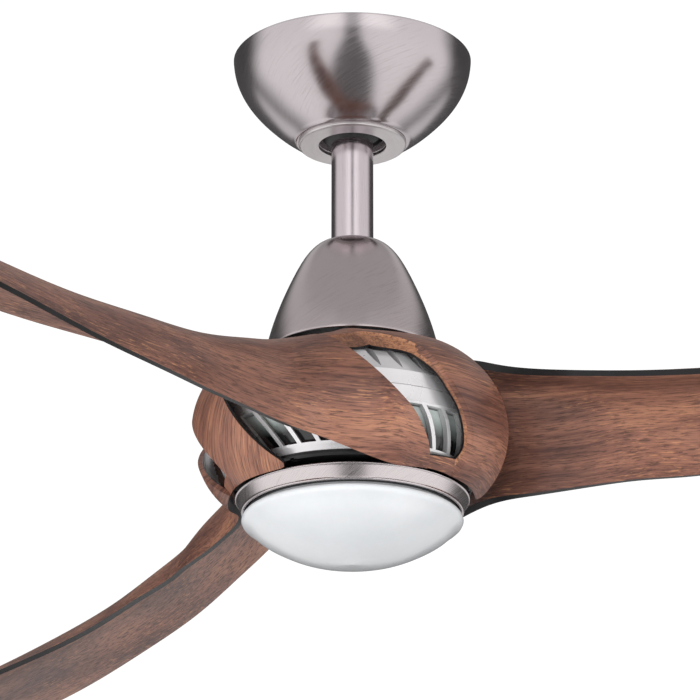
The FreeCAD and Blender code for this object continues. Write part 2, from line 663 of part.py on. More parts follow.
def led_chips():
    """Ring of light-emitting diodes on the board."""
    chip = box(-1.8, 1.8, -1.8, 1.8, LIGHT_TOP_Z - 4.8, LIGHT_TOP_Z - 4.0)
    inner = ring_of(chip.translated(Vector(28, 0, 0)), LED_COUNT // 3)
    return Part.makeCompound(inner + ring_of(chip.translated(Vector(42, 0, 0)), LED_COUNT * 2 // 3))


def led_driver():
    """Low block of driver electronics on the board."""
    body = box(-9, 9, 17.5, 24, LIGHT_TOP_Z - 8.4, LIGHT_TOP_Z - 4.0)
    return body.makeFillet(1.2, [e for e in body.Edges if abs(e.tangentAt(0).z) > 0.9])


def glass_bowl():
    """Opal glass bowl with a short neck and three lugs for its twist lock."""
    profile = [(GLASS_NECK_R, -301.5), (GLASS_NECK_R, -305.4), (66.4, -307.4), (68.6, -309.4),
               (68.6, -312.0), (66, -315.2), (60.4, -319.8), (51, -325.8), (36, -332.6),
               (18, -336.8), (0, -339.2)]
    bowl = shell_of_revolution(profile, GLASS_WALL, 40)
    lug = sector(62.6, 66.4, LIGHT_LIP_Z + 2.7, LIGHT_LIP_Z + 5.0, 7)
    return bowl.fuse(ring_of(lug, LUGS, 30))


# ---------------------------------------------------------------- write every node
NODES = {
    "mounting_bracket": mounting_bracket, "canopy": canopy, "canopy_ring": canopy_ring,
    "canopy_screws": canopy_screws, "receiver_box": receiver_box, "hanger_ball": hanger_ball,
    "ball_pin": ball_pin, "ball_set_screw": ball_set_screw, "downrod": downrod,
    "coupling": coupling, "clevis_pin": clevis_pin, "cotter_clip": cotter_clip,
    "coupling_set_screws": coupling_set_screws, "coupling_cover": coupling_cover,
    "cover_plate": cover_plate, "motor_shaft": motor_shaft, "stator_hub": stator_hub,
    "stator_core": stator_core, "stator_windings": stator_windings,
    "motor_top_housing": motor_top_housing, "motor_band": motor_band,
    "rotor_magnets": rotor_magnets, "motor_bottom_housing": motor_bottom_housing,
    "motor_liner": motor_liner, "housing_screws": housing_screws, "blade_ring": blade_ring,
    "blade_ring_screws": blade_ring_screws, "blade_screws": blade_screws,
    "light_plate": light_plate, "shaft_nut": shaft_nut, "light_ring": light_ring,
    "light_ring_screws": light_ring_screws, "led_plate": led_plate, "led_board": led_board,
    "led_chips": led_chips, "led_driver": led_driver, "glass_bowl": glass_bowl,
}


def write(name, shape):
    """Save one node, and say so when its solids aren't sound."""
    if not shape.isValid() or not shape.Solids or shape.Volume <= 0:
        print("unsound:", name, shape.ShapeType, len(shape.Solids), shape.Volume)
    shape.exportStep(os.path.join("parts", name + ".step"))


os.makedirs("parts", exist_ok=True)
for node_name, make in NODES.items():
    write(node_name, make())
for place, height in (("upper", UPPER_BEARING_Z), ("lower", LOWER_BEARING_Z)):
    write(place + "_bearing_inner", bearing_inner(height))
    write(place + "_bearing_outer", bearing_outer(height))
    write(place + "_bearing_balls", bearing_balls(height))
first_blade = blade_one()
for number in range(BLADES):
    write("blade_%d" % (number + 1), spun(first_blade, 360.0 / BLADES * number))
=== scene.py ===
import json
import math

import bmesh
import bpy
import numpy as np
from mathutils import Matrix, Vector


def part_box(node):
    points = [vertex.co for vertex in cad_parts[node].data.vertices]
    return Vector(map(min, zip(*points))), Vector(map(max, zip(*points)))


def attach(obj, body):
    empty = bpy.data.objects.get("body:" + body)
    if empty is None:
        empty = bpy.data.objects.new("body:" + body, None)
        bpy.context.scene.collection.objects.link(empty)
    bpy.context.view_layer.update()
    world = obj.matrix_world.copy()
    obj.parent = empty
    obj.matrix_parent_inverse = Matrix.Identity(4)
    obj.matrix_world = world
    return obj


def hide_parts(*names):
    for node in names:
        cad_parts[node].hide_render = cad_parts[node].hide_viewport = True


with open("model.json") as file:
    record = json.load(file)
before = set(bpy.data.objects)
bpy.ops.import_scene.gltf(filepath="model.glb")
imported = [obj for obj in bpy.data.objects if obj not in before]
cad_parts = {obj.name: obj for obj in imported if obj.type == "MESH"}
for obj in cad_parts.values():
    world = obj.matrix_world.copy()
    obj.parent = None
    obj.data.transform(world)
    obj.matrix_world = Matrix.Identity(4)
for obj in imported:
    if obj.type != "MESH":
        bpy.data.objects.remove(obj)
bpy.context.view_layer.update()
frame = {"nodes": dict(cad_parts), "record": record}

MM = 0.001
BLADES = 3
TURN = 2 * math.pi
UV_NAME = "surface"
OUTLINE_SCALE = np.array([1.7, 65.0])    # millimetres per degree and per side, round the motor
RING_HOLE_SHARE = 0.625                  # hole of the canopy's ring as a share of its radius


# ---------------------------------------------------------------- curves
def unit(vectors):
    """Vectors of length one."""
    return vectors / np.linalg.norm(vectors, axis=-1, keepdims=True)


def smoothstep(x):
    """0 below 0, 1 above 1 and a soft rise between."""
    x = np.clip(x, 0.0, 1.0)
    return x * x * (3.0 - 2.0 * x)


def natural_spline(knots, values):
    """Natural cubic spline through values at the knots; curve(t, slope=True) gives its slope."""
    x = np.asarray(knots, float)
    y = np.asarray(values, float).reshape(len(x), -1)
    last = len(x) - 1
    step = np.diff(x)
    matrix = np.eye(len(x))
    right = np.zeros_like(y)
    for i in range(1, last):
        matrix[i, i - 1:i + 2] = step[i - 1], 2 * (step[i - 1] + step[i]), step[i]
        right[i] = 6 * ((y[i + 1] - y[i]) / step[i] - (y[i] - y[i - 1]) / step[i - 1])
    bend = np.linalg.solve(matrix, right)

    def curve(t, slope=False):
        t = np.asarray(t, float)
        i = np.clip(np.searchsorted(x, t) - 1, 0, last - 1)
        after, before = (x[i + 1] - t)[..., None], (t - x[i])[..., None]
        gap = step[i][..., None]
        if slope:
            change = (y[i + 1] - y[i]) / gap - gap * (bend[i + 1] - bend[i]) / 6
            return (bend[i + 1] * before ** 2 - bend[i] * after ** 2) / (2 * gap) + change
        cubic = (bend[i] * after ** 3 + bend[i + 1] * before ** 3) / (6 * gap)
        line = (y[i] / gap - bend[i] * gap / 6) * after
        return cubic + line + (y[i + 1] / gap - bend[i + 1] * gap / 6) * before

    return curve


def evenly(points, count):
    """Evenly spaced points along a chain of straight pieces."""
    points = np.asarray(points, float)
    scaled = points * OUTLINE_SCALE[:points.shape[1]]
    length = np.concatenate([[0], np.cumsum(np.linalg.norm(np.diff(scaled, axis=0), axis=1))])
    at = np.linspace(0, length[-1], count)
    return np.stack([np.interp(at, length, column) for column in points.T], axis=1)


def through(points, count):
    """Evenly spaced points along a smooth curve through the given ones."""
    points = np.asarray(points, float)
    scaled = points * OUTLINE_SCALE[:points.shape[1]]
    length = np.concatenate([[0], np.cumsum(np.linalg.norm(np.diff(scaled, axis=0), axis=1))])
    dense = natural_spline(length, points)(np.linspace(0, length[-1], 20 * len(points)))
    return evenly(dense, count)


# ---------------------------------------------------------------- meshes
def piece(name, points, faces, body, materials, replaced=(), uv=None, marks=None):
    """New piece from points in millimetres; uv is one pair per point, marks a material per face."""
    mesh = bpy.data.meshes.new(name)
    mesh.from_pydata((np.asarray(points) * MM).tolist(), [], [list(map(int, f)) for f in faces])
    for material in materials:
        mesh.materials.append(material)
    if marks is not None:
        mesh.polygons.foreach_set("material_index", marks)
    if uv is not None:
        layer = mesh.uv_layers.new(name=UV_NAME)
        corners = np.empty(len(mesh.loops), int)
        mesh.loops.foreach_get("vertex_index", corners)
        layer.data.foreach_set("uv", (np.asarray(uv)[corners] * MM).astype(np.float32).ravel())
    mesh.polygons.foreach_set("use_smooth", [True] * len(mesh.polygons))
    item = bpy.data.objects.new(name, mesh)
    bpy.context.scene.collection.objects.link(item)
    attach(item, body)
    if replaced:
        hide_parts(*replaced)
    return item


def soften_edges(item, width, angle=40.0):
    """Small round on every edge sharper than angle, with flat faces kept flat."""
    bevel = item.modifiers.new("round", "BEVEL")
    bevel.width = width * MM
    bevel.segments = 2
    bevel.limit_method = "ANGLE"
    bevel.angle_limit = math.radians(angle)
    flat = item.modifiers.new("flat", "WEIGHTED_NORMAL")
    flat.keep_sharp = True


# ---------------------------------------------------------------- finishes
class Finish:
    """One procedural material, with short calls for its nodes."""

    def __init__(self, name, **sockets):
        self.material = bpy.data.materials.new(name)
        self.material.use_nodes = True
        self.tree = self.material.node_tree
        self.shader = self.tree.nodes["Principled BSDF"]
        for label, value in sockets.items():
            self.shader.inputs[label.replace("_", " ")].default_value = value

    def node(self, kind, values=(), **settings):
        """New node; values are (input, number or socket) pairs."""
        made = self.tree.nodes.new("ShaderNode" + kind)
        for label, value in settings.items():
            setattr(made, label, value)
        for place, value in values:
            if isinstance(value, bpy.types.NodeSocket):
                self.tree.links.new(value, made.inputs[place])
            else:
                made.inputs[place].default_value = value
        return made

    def surface(self):
        """Distances along and across the piece's surface, in metres."""
        return self.node("UVMap", uv_map=UV_NAME).outputs[0]

    def solid(self):
        """Place in the row frame, in metres."""
        return self.node("TexCoord").outputs["Object"]

    def noise(self, place, per_metre, detail=2.0, rough=0.5, shift=0.0, turn=0.0, twist=0.0):
        """Noise with its own number of cycles per metre each way."""
        values = [(0, place), ("Rotation", (0, 0, math.radians(turn)))]
        turned = self.node("Mapping", values).outputs[0]
        moved = self.node("Mapping", [(0, turned), ("Location", (shift, shift, shift)),
                                      ("Scale", per_metre)]).outputs[0]
        return self.node("TexNoise", [("Vector", moved), ("Scale", 1.0), ("Detail", detail),
                                      ("Roughness", rough), ("Distortion", twist)]).outputs[0]

    def ramp(self, factor, stops):
        """Colours along a factor, as (place, (red, green, blue)) stops."""
        made = self.node("ValToRGB", [(0, factor)])
        band = made.color_ramp
        while len(band.elements) < len(stops):
            band.elements.new(0.5)
        for element, (place, colour) in zip(band.elements, stops):
            element.position = place
            element.color = (*colour, 1.0)
        return made.outputs[0]

    def span(self, value, low, high, to_low, to_high):
        """Value moved from one range to another, and kept in it."""
        return self.node("MapRange", [(0, value), (1, low), (2, high), (3, to_low), (4, to_high)],
                         interpolation_type="SMOOTHSTEP").outputs[0]

    def mix(self, factor, first, second):
        """Blend of two colours."""
        return self.node("Mix", [(0, factor), (6, first), (7, second)], data_type="RGBA").outputs[2]

    def sum(self, first, second, share=1.0):
        """First value plus a share of the second."""
        return self.node("Math", [(0, second), (1, share), (2, first)],
                         operation="MULTIPLY_ADD").outputs[0]

    def finish(self, colour=None, roughness=None, height=None, depth=0.1):
        """Link what is given to the shader; depth is the bump's in millimetres."""
        if colour is not None:
            self.tree.links.new(colour, self.shader.inputs["Base Color"])
        if roughness is not None:
            self.tree.links.new(roughness, self.shader.inputs["Roughness"])
        if height is not None:
            bump = self.node("Bump", [("Height", height), ("Strength", 1.0), ("Distance", depth * MM)])
            self.tree.links.new(bump.outputs[0], self.shader.inputs["Normal"])
        return self.material


def walnut(name, lighter_warmer, lit_from, along=1.0):
    """Printed walnut grain under a satin lacquer: soft figure, streaks, dark dashes and lit flecks."""
    f = Finish(name, Coat_Weight=0.12, Coat_Roughness=0.3)
    place = f.surface()
    figure = f.noise(place, (4 * along, 34, 1), 3.0, 0.55, twist=0.4)
    streaks = f.noise(place, (13 * along, 450, 1), 4.0, 0.62, 3.0, twist=0.3)
    base = f.ramp(f.sum(figure, streaks, 0.6), [
        (0.58, (0.078 * lighter_warmer, 0.030 * lighter_warmer, 0.023)), (0.73, (0.155 * lighter_warmer, 0.064 * lighter_warmer, 0.044)),
        (0.85, (0.238 * lighter_warmer, 0.102 * lighter_warmer, 0.068)), (1.0, (0.350 * lighter_warmer, 0.158 * lighter_warmer, 0.096))])
    dashes = f.noise(place, (62 * along, 980, 1), 3.0, 0.65, 7.0, twist=0.3)
    dark = f.span(dashes, 0.49, 0.62, 0.0, 0.72)
    colour = f.mix(dark, base, (0.040, 0.018, 0.014, 1.0))
    flecks = f.noise(place, (56 * along, 860, 1), 3.0, 0.65, 21.0, twist=0.3)
    patches = f.span(f.noise(place, (10, 26, 1), 1.0, 0.5, 5.0), 0.40, 0.60, 0.10, 0.6)
    lit = f.node("Math", [(0, f.span(flecks, lit_from, lit_from + 0.1, 0.0, 1.0)), (1, patches)],
                 operation="MULTIPLY").outputs[0]
    colour = f.mix(lit, colour, (0.54, 0.255, 0.125, 1.0))
    rough = f.span(dashes, 0.35, 0.7, 0.36, 0.48)
    return f.finish(colour, rough, f.sum(streaks, dashes, -0.6), 0.03)


def black_edge():
    """Satin black paint on the sheets' cut edges."""
    f = Finish("black_edge_paint", Specular_IOR_Level=0.35)
    place = f.solid()
    cloud = f.noise(place, (60, 60, 60), 3.0)
    fine = f.noise(place, (900, 900, 900), 2.0)
    colour = f.ramp(cloud, [(0.3, (0.004, 0.004, 0.005)), (0.7, (0.010, 0.009, 0.010))])
    return f.finish(colour, f.span(fine, 0.3, 0.7, 0.3, 0.42), fine, 0.004)


def brushed(name, dark, light, turn, low=0.16, high=0.24, depth=0.0016):
    """Brushed metal with fine lines at an angle to the way round the piece."""
    f = Finish(name, Metallic=1.0)
    place = f.surface()
    lines = f.noise(place, (60, 1500, 1), 3.0, 0.6, 2.0, turn)
    coarse = f.noise(place, (36, 700, 1), 3.0, 0.6, 9.0, turn)
    cloud = f.noise(place, (9, 14, 1), 2.0, 0.5, 4.0)
    both = f.sum(lines, coarse, 0.7)
    colour = f.ramp(f.sum(both, cloud, 0.4), [(0.75, dark), (1.2, light)])
    return f.finish(colour, f.span(both, 0.6, 1.1, low, high), both, depth)


def opal():
    """Opal glass, milky all through, with a soft satin face."""
    f = Finish("opal_glass", Roughness=0.22, IOR=1.5, Coat_Weight=0.35, Coat_Roughness=0.06,
               Subsurface_Weight=0.35, Subsurface_Radius=(0.02, 0.022, 0.025), Subsurface_Scale=0.5)
    place = f.solid()
    cloud = f.noise(place, (22, 22, 30), 3.0, 0.5)
    fine = f.noise(place, (260, 260, 260), 2.0)
    colour = f.ramp(f.sum(cloud, fine, 0.2), [(0.4, (0.635, 0.665, 0.695)),
                                              (0.8, (0.69, 0.715, 0.745))])
    return f.finish(colour, None, cloud, 0.05)


def cast(name, dark, light, low, high, grain=1400, depth=0.02, metallic=1.0):
    """Cast, plated or painted metal: cloudy tone and a fine even grain."""
    f = Finish(name, Metallic=metallic)
    place = f.solid()
    cloud = f.noise(place, (45, 45, 45), 3.0)
    fine = f.noise(place, (grain, grain, grain), 2.0)
    colour = f.ramp(f.sum(cloud, fine, 0.35), [(0.5, dark), (0.85, light)])
    return f.finish(colour, f.span(fine, 0.3, 0.7, low, high), fine if depth else None, depth)


def smoke():
    """Glossy grey-green liner with painted reflection and shade: darker towards its bottom, lighter
    towards its top.
    """
    f = Finish("smoke_liner", Coat_Weight=0.6, Coat_Roughness=0.05, Roughness=0.18)
    place = f.solid()
    low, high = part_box("motor_liner")
    height = f.node("SeparateXYZ", [(0, place)]).outputs[2]
    share = f.span(height, low.z, high.z, 0.0, 1.0)
    painted_shade_and_mottle = f.sum(share, f.noise(place, (120, 120, 40), 2.0), 0.12)
    # black at the bottom to light grey-green at the top: painted reflection and shade, with a little
    # mottle
    colour = f.ramp(painted_shade_and_mottle, [(0.3, (0.006, 0.007, 0.007)), (0.7, (0.17, 0.20, 0.19)),
                              (1.0, (0.34, 0.385, 0.37))])
    return f.finish(colour)


def layered(name, dark, light, per_metre, low, high):
    """Stacked sheets or wound wire: thin lines across one direction."""
    f = Finish(name, Metallic=1.0)
    place = f.solid()
    lines = f.noise(place, per_metre, 1.0)
    cloud = f.noise(place, (50, 50, 50), 2.0)
    colour = f.ramp(f.sum(lines, cloud, 0.3), [(0.45, dark), (0.8, light)])
    return f.finish(colour, f.span(lines, 0.3, 0.7, low, high), lines, 0.15)


NICKEL = {
    "bowl": brushed("nickel_bowl", (0.485, 0.443, 0.456), (0.57, 0.525, 0.54), 28.0),
    "bell": brushed("nickel_bell", (0.48, 0.42, 0.427), (0.56, 0.497, 0.504), 28.0),
    "tube": brushed("nickel_tube", (0.52, 0.468, 0.494), (0.58, 0.525, 0.55), 88.0),
    "ring": brushed("nickel_ring", (0.56, 0.51, 0.515), (0.69, 0.635, 0.64), 40.0, 0.2, 0.3),
    "trim": brushed("nickel_trim", (0.60, 0.57, 0.57), (0.70, 0.665, 0.67), 0.0, 0.3, 0.42),
}
WALNUT = walnut("walnut_grain", 1.0, 0.55)
# lighter, warmer copy of the walnut with more flecks: painted light on the border that slopes round the
# eye
WALNUT_PAINTED_LIT = walnut("walnut_painted_lit", 1.25, 0.46, 9.0)
BLACK_EDGE = black_edge()
OPAL = opal()
SLOT_FINISH = {
    "brushed_nickel": NICKEL["tube"],
    "walnut": WALNUT,
    "opal_glass": OPAL,
    "silver_casting": cast("silver_casting", (0.70, 0.69, 0.70), (0.77, 0.76, 0.77), 0.27, 0.3, 60,
                           0.0, 0.6),
    "smoke_liner": smoke(),
    "black_paint": cast("black_paint", (0.008, 0.008, 0.008), (0.02, 0.02, 0.021), 0.3, 0.45, 900, 0.02,
                        0.0),
    "steel": cast("zinc_steel", (0.42, 0.42, 0.43), (0.62, 0.61, 0.60), 0.25, 0.42, 700),
    "black_plastic": cast("black_plastic", (0.012, 0.012, 0.013), (0.03, 0.03, 0.031), 0.4, 0.55, 1600,
                          0.04, 0.0),
    "laminations": layered("laminations", (0.16, 0.16, 0.17), (0.34, 0.33, 0.33), (4, 4, 1400),
                           0.3, 0.5),
    "copper": layered("copper_wire", (0.42, 0.16, 0.06), (0.80, 0.40, 0.20), (300, 300, 1100),
                      0.2, 0.35),
    "magnet": cast("magnet", (0.05, 0.05, 0.055), (0.11, 0.11, 0.12), 0.5, 0.7, 1200, 0.04, 0.3),
    "board": cast("board", (0.70, 0.73, 0.71), (0.82, 0.84, 0.82), 0.35, 0.5, 500, 0.01, 0.0),
    "led": cast("led", (0.75, 0.60, 0.16), (0.92, 0.80, 0.35), 0.15, 0.25, 900, 0.01, 0.0),
}


# ---------------------------------------------------------------- turned pieces
ON_AXIS = 1e-6               # millimetres; a smaller radius is on the axis
METAL_WALL = 1.2             # thickness of the canopy's and the bell's sheet
GLASS_WALL = 2.5
ROD_WALL = 2.85
TABS = 3                     # tabs in the light ring


def fitted(node, shares):
    """(radius, z) points in millimetres from shares of a node's radius and of its depth."""
    low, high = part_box(node)
    radius, top, depth = high.x / MM, high.z / MM, (high.z - low.z) / MM
    return np.array([(r * radius, top - d * depth) for r, d in shares])


def walled(outer, wall, lip_steps=5):
    """Closed outline of a thin wall inside an outer line, with a rolled lip at each open end."""
    along = unit(np.gradient(outer, axis=0))
    inward = np.stack([along[:, 1], -along[:, 0]], axis=1)
    inner = outer + inward * wall
    inner[:, 0] = np.maximum(inner[:, 0], 0.0)
    lips = []
    for end, sign in ((-1, 1), (0, -1)):
        if outer[end, 0] < ON_AXIS:
            continue
        centre = (outer[end] + inner[end]) / 2 - sign * along[end] * wall / 2
        start = outer[end] if end == -1 else inner[end]
        angles = np.linspace(0, math.pi, lip_steps + 2)[1:-1, None]
        arm = start - (outer[end] + inner[end]) / 2
        lips.append(centre + arm * np.cos(angles) + sign * along[end] * wall / 2 * np.sin(angles))
    if len(lips) == 1:
        return np.concatenate([outer[1:], inner[1:][::-1], lips[0]])
    return np.concatenate([outer[1:-1], lips[0], inner[1:-1][::-1], lips[1]])


def rounded(corners, radius, steps=4):
    """Closed outline with its corners rounded."""
    corners = np.asarray(corners, float)
    outline = []
    for before, here, after in zip(np.roll(corners, 1, 0), corners, np.roll(corners, -1, 0)):
        back, ahead = before - here, after - here
        cut = min(radius, 0.45 * np.linalg.norm(back), 0.45 * np.linalg.norm(ahead))
        start, end = here + unit(back) * cut, here + unit(ahead) * cut
        for u in np.linspace(0, 1, steps + 1):
            outline.append((1 - u) ** 2 * start + 2 * u * (1 - u) * here + u * u * end)
    return np.array(outline)


def turned(name, outline, body, slot, material, replaced, segments=180):
    """Piece turned about the fan's axis from a closed (radius, z) outline in millimetres."""
    count = len(outline)
    angles = math.pi / 2 + np.arange(segments + 1) * TURN / segments
    ring = np.stack([np.cos(angles), np.sin(angles)], axis=1)
    points = np.empty((segments + 1, count, 3))
    points[..., :2] = ring[:, None, :] * outline[None, :, :1]
    points[..., 2] = outline[None, :, 1]
    length = np.cumsum(np.linalg.norm(outline - np.roll(outline, 1, 0), axis=1))
    uv = np.empty((segments + 1, count, 2))
    uv[..., 0] = angles[:, None] * outline[:, 0].max()
    uv[..., 1] = length[None, :]
    i, j = np.meshgrid(np.arange(segments), np.arange(count), indexing="ij")
    k = (j + 1) % count
    faces = np.stack([i * count + j, (i + 1) * count + j, (i + 1) * count + k, i * count + k], axis=-1)
    item = piece(name, points.reshape(-1, 3), faces.reshape(-1, 4), body, [material], replaced,
                 uv.reshape(-1, 2))
    tidy = bmesh.new()
    tidy.from_mesh(item.data)
    bmesh.ops.remove_doubles(tidy, verts=tidy.verts, dist=1e-6)
    bmesh.ops.recalc_face_normals(tidy, faces=tidy.faces)
    tidy.to_mesh(item.data)
    tidy.free()
    flat = item.modifiers.new("flat", "WEIGHTED_NORMAL")
    flat.keep_sharp = True


def smooth_line(points, count):
    """Dense smooth line through a few (radius, z) points."""
    length = np.concatenate([[0], np.cumsum(np.linalg.norm(np.diff(points, axis=0), axis=1))])
    return natural_spline(length, points)(np.linspace(0, length[-1], count))


def canopy():
    """Bowl against the ceiling with a flat bottom round the rod's hole."""
    side = smooth_line(fitted("canopy", [(1, 0), (0.987, 0.142), (0.932, 0.355), (0.838, 0.55),
                                         (0.72, 0.723), (0.589, 0.879), (0.491, 0.975)]), 44)
    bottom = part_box("canopy")[0].z / MM
    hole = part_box("canopy_ring")[1].x / MM * RING_HOLE_SHARE
    turn_in = np.array([(side[-1, 0] - 1.1, bottom + 0.35), (side[-1, 0] - 2.4, bottom)])
    flat = np.array([(side[-1, 0] - 8.0, bottom), (hole + 1.0, bottom), (hole, bottom)])
    outline = walled(np.concatenate([side, turn_in, flat]), METAL_WALL)
    outline[:, 1] = np.minimum(outline[:, 1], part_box("canopy")[1].z / MM)
    turned("canopy_bowl", outline, "ceiling", "brushed_nickel", NICKEL["bowl"], ["canopy"])


def trim_ring():
    """Flat ring under the canopy with softened corners."""
    low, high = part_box("canopy_ring")
    outer, top, bottom = high.x / MM, high.z / MM, low.z / MM
    hole = outer * RING_HOLE_SHARE
    corners = [(hole, top), (hole, bottom), (outer - 1.0, bottom), (outer, bottom + 0.7),
               (outer, bottom + 1.5), (outer - 0.35, bottom + 1.65), (outer - 0.35, bottom + 1.8),
               (outer, bottom + 1.95), (outer, top)]
    turned("canopy_trim_ring", rounded(corners, 0.4, 3), "ceiling", "brushed_nickel",
           NICKEL["trim"], ["canopy_ring"])


def rod():
    """Downrod with eased ends."""
    low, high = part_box("downrod")
    radius, top, bottom = high.x / MM, high.z / MM, low.z / MM
    bore = radius - ROD_WALL
    corners = [(bore, bottom), (radius, bottom), (radius, top), (bore, top)]
    turned("downrod_tube", rounded(corners, 0.8), "hanging", "brushed_nickel", NICKEL["tube"],
           ["downrod"], 128)


def bell():
    """Bell cover over the coupling, with a rolled rim."""
    side = smooth_line(fitted("coupling_cover", [(0.260, 0), (0.362, 0.016), (0.464, 0.070),
                                                 (0.594, 0.202), (0.705, 0.363), (0.816, 0.551),
                                                 (0.902, 0.726), (0.965, 0.887), (1, 1)]), 48)
    outline = walled(side[::-1], METAL_WALL)
    turned("bell_cover", outline, "hanging", "brushed_nickel", NICKEL["bell"], ["coupling_cover"])


def light_ring():
    """Tapered ring round the glass, with its rim and lip rolled."""
    low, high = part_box("light_ring")
    rim, top, bottom = high.x / MM, high.z / MM, low.z / MM
    lip = rim - 4.3
    corners = [(rim - 21, top), (rim - 1.0, top), (rim, top - 0.5), (rim, top - 1.3),
               (rim - 0.9, top - 1.7), (lip + 0.3, bottom + 1.5), (lip + 0.6, bottom + 0.6),
               (lip, bottom), (lip - 1.4, bottom), (rim - 2.4, top - 1.5), (rim - 21, top - 1.4)]
    turned("light_trim_ring", rounded(corners, 0.35, 3), "hanging", "brushed_nickel",
           NICKEL["ring"], ["light_ring"])
    light_ring_tabs(lip, bottom)


def light_ring_tabs(lip, bottom):
    """Three small tabs inside the light ring that hold the glass."""
    steps, step_angle, first_angle = 8, 2.2, 30
    points, faces = [], []
    for n in range(TABS):
        for step in range(steps + 1):
            angle = math.radians(first_angle + 360 / TABS * n + (step - steps / 2) * step_angle)
            for r, z in ((lip - 4.0, 1.3), (lip - 0.6, 1.3), (lip - 0.6, 2.3), (lip - 4.0, 2.3)):
                points.append((r * math.cos(angle), r * math.sin(angle), bottom + z))
            base = len(points) - 4
            if step:
                faces += [(base - 4 + k, base + k, base + (k + 1) % 4, base - 4 + (k + 1) % 4)
                          for k in range(4)]
            if step in (0, steps):
                faces.append([base + k for k in (range(4) if step else reversed(range(4)))])
    tabs = piece("light_ring_tabs", points, faces, "hanging", [NICKEL["trim"]],
                 uv=np.array(points)[:, :2])
    soften_edges(tabs, 0.25)


def glass():
    """Opal glass bowl with a short neck and a rolled upper lip, and a black ring round the neck that
    paints the shade in the gap under the light ring.
    """
    side = smooth_line(fitted("glass_bowl", [(0.966, 0.212), (0.993, 0.238), (1.0, 0.290),
                                             (0.962, 0.363), (0.881, 0.485), (0.744, 0.645),
                                             (0.525, 0.825), (0.262, 0.936), (0, 1)]), 60)
    side[-1, 0] = 0.0
    neck_r, top = side[0, 0] - 2.0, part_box("glass_bowl")[1].z / MM
    neck = np.array([(neck_r, top), (neck_r, top - 2.2), (neck_r, top - 4.4), (neck_r, top - 6.4),
                     (neck_r + 0.5, top - 7.2)])
    # black ring round the neck: painted shade in the gap under the light ring
    shade_sleeve = [(neck_r - 0.2, top - 6.6), (neck_r - 0.2, top - 4.6),
              (neck_r + 1.6, top - 4.6), (neck_r + 1.6, top - 6.6)]
    turned("glass_neck_shade_ring", rounded(shade_sleeve, 0.3, 3), "bowl", "opal_glass",
           SLOT_FINISH["black_plastic"], [])
    outline = walled(np.concatenate([neck, side]), GLASS_WALL)
    turned("opal_glass_bowl", outline, "bowl", "opal_glass", OPAL, ["glass_bowl"])


# ---------------------------------------------------------------- blades
# One blade is one moulded sheet.  Its root wraps the motor as part of a shell of revolution, peels
# off along the lower edge first, and then twists and flattens towards the tip.  Each station is
# the lower edge and the upper edge as (radius, degrees, z), and half the angle of the arc between.
# The stations, and STRAP_EDGE, EYE_SIDE and RIDGE below, are rounded results of a fitting program.
SHEET_BOTTOM = (76.9, -298.2)
SHEET_TOP = (42.1, -205.7)
END_ANGLE = 89.0
END_SLANT = 32.0
FIRST_ANGLE = 121.0
WRAP_STEP = 30.0
STATIONS = [
    ((SHEET_BOTTOM[0], 121.0, SHEET_BOTTOM[1]), (SHEET_TOP[0], 121.0, SHEET_TOP[1]), 82.0),
    ((SHEET_BOTTOM[0], 91.0, SHEET_BOTTOM[1]), (SHEET_TOP[0], 91.0, SHEET_TOP[1]), 80.5),
    ((SHEET_BOTTOM[0], 61.0, SHEET_BOTTOM[1]), (SHEET_TOP[0], 61.0, SHEET_TOP[1]), 77.5),
    ((78.0, 51.0, -299.5), (42.0, 20.0, -206.0), 75.0),
    ((91.0, 22.3, -289.8), (57.0, 3.5, -210.5), 68.0),
    ((114.0, 11.8, -287.0), (70.0, -13.0, -210.8), 45.5),
    ((143.0, 6.3, -284.6), (95.0, -15.5, -217.2), 42.0),
    ((179.0, 2.4, -282.0), (140.0, -21.5, -230.0), 51.0),
    ((220.0, 0.5, -280.2), (195.0, -20.3, -236.2), 53.0),
    ((264.0, -2.0, -275.2), (250.0, -19.0, -238.8), 51.5),
    ((330.0, -3.5, -268.8), (325.0, -16.9, -242.0), 50.5),
    ((430.0, -4.4, -262.5), (430.0, -15.4, -240.8), 46.5),
    ((540.0, -3.4, -258.8), (540.0, -13.4, -239.9), 37.0),
    ((650.0, -1.9, -256.0), (650.0, -11.7, -238.2), 24.0),
    ((735.0, -0.6, -254.0), (735.0, -10.3, -236.6), 14.0),
]
WALL = 5.5                   # thickness of the sheet
TIP_ROUNDING = 26.0
TIP_INSET = 0.4              # keeps the tip inside the CAD's box
START_THINNING = 2.4         # how much thinner the strap is at its very start
BAND_DEPTH = 4.4             # how far the eye's border slopes inwards
LEDGE_DEPTH = 0.9            # the border's depth where it runs out at the sheet's lower edge
STEP_DEPTH = 0.7             # the strap stands this proud where the border is flush
THIN = 1.7                   # thickness of the sheet's edge round the eye
FREE_THIN = 2.4              # thickness of the sheet at its free end
SIDE_THIN = 3.6              # thickness along the strap's two edges
TUCK = 1.6                   # degrees that the root runs on under the strap
GRAIN_LEAN = (0.0, 1.7, 0.0)  # how steeply the grain of each blade's root leans
PAINTED_REFLECTION_T = 150.0       # how far the silver on the strap's inner face, a painted reflection, reaches
PAINTED_LIT_TO = 59.0               # degrees where the lighter copy of the walnut, painted light on the border, narrows to the eye's edge

